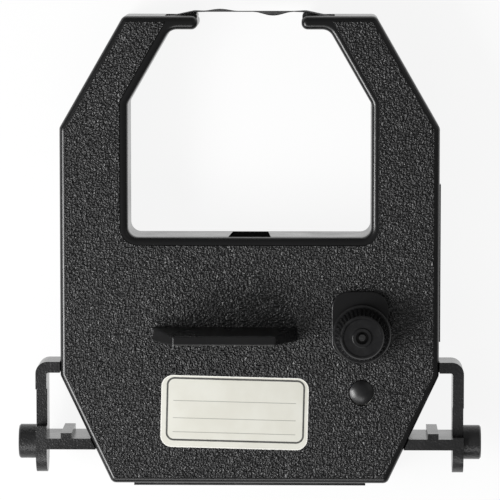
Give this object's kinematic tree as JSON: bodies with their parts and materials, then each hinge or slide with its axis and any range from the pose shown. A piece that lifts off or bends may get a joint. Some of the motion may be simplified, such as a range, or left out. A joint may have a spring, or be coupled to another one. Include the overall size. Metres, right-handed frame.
{
  "type": "printer ribbon cartridge",
  "caption": "Ribbon cassette with a U-shaped case, a ribbon stretched across its open mouth, a knob and gears that feed it, and side legs with pins.",
  "frame": {"origin": "middle of the back face, on the surface that the cartridge lies on", "axes": "+X across the cartridge towards the knob's side, +Y towards the exposed ribbon, +Z out through the grained front"},
  "size_m": [0.1118, 0.1146, 0.0316],
  "materials": {
    "case_plastic": "satin moulded black",
    "grained_plastic": "leather-grained black",
    "knob_plastic": "glossy moulded black",
    "gear_plastic": "natural acetal",
    "spring_steel": "bare spring steel",
    "ribbon_nylon": "inked nylon weave",
    "felt": "pressed felt",
    "label_paper": "cream paper with a thin black frame"
  },
  "bodies": {
    "case": {"base_shell": "case_plastic", "cover_shell": "grained_plastic", "ribbon_stripper": "case_plastic", "ink_ribbon": "ribbon_nylon", "idler_spring": "spring_steel", "tension_leaf": "spring_steel", "brake_pad": "felt", "label": "label_paper"},
    "drive": {"drive_gear": "case_plastic", "advance_knob": "knob_plastic"},
    "swing_arm": {"idler_arm": "gear_plastic", "idler_axle": "knob_plastic"},
    "idler": {"idler_gear": "gear_plastic"},
    "left_guide": {"left_guide_roller": "gear_plastic"},
    "right_guide": {"right_guide_roller": "gear_plastic"},
    "feed_guide": {"feed_guide_roller": "gear_plastic"}
  },
  "joints": [
    {"name": "knob_turn", "type": "hinge", "parent": "case", "child": "drive", "pos_m": [0.027, -0.0197, 0.008], "axis": [0, 0, 1], "continuous": true},
    {"name": "arm_swing", "type": "hinge", "parent": "case", "child": "swing_arm", "pos_m": [0.038, -0.0335, 0.003], "axis": [0, 0, 1], "range_deg": [0, 1.6], "stiffness_Nm_per_rad": 0.02, "springref_deg": -11.46},
    {"name": "idler_turn", "type": "hinge", "parent": "swing_arm", "child": "idler", "pos_m": [0.027, -0.0341, 0.008], "axis": [0, 0, 1], "continuous": true},
    {"name": "left_guide_turn", "type": "hinge", "parent": "case", "child": "left_guide", "pos_m": [-0.0356, 0.0344, 0.007], "axis": [0, 0, 1], "continuous": true},
    {"name": "right_guide_turn", "type": "hinge", "parent": "case", "child": "right_guide", "pos_m": [0.0356, 0.0344, 0.007], "axis": [0, 0, 1], "continuous": true},
    {"name": "feed_guide_turn", "type": "hinge", "parent": "case", "child": "feed_guide", "pos_m": [0.0372, -0.02458, 0.007], "axis": [0, 0, 1], "continuous": true}
  ],
  "couplings": [
    {"joint": "idler_turn", "follows": "knob_turn", "ratio": -1},
    {"joint": "left_guide_turn", "follows": "knob_turn", "ratio": 3.1818},
    {"joint": "right_guide_turn", "follows": "knob_turn", "ratio": 3.1818},
    {"joint": "feed_guide_turn", "follows": "knob_turn", "ratio": 3.1818}
  ]
}
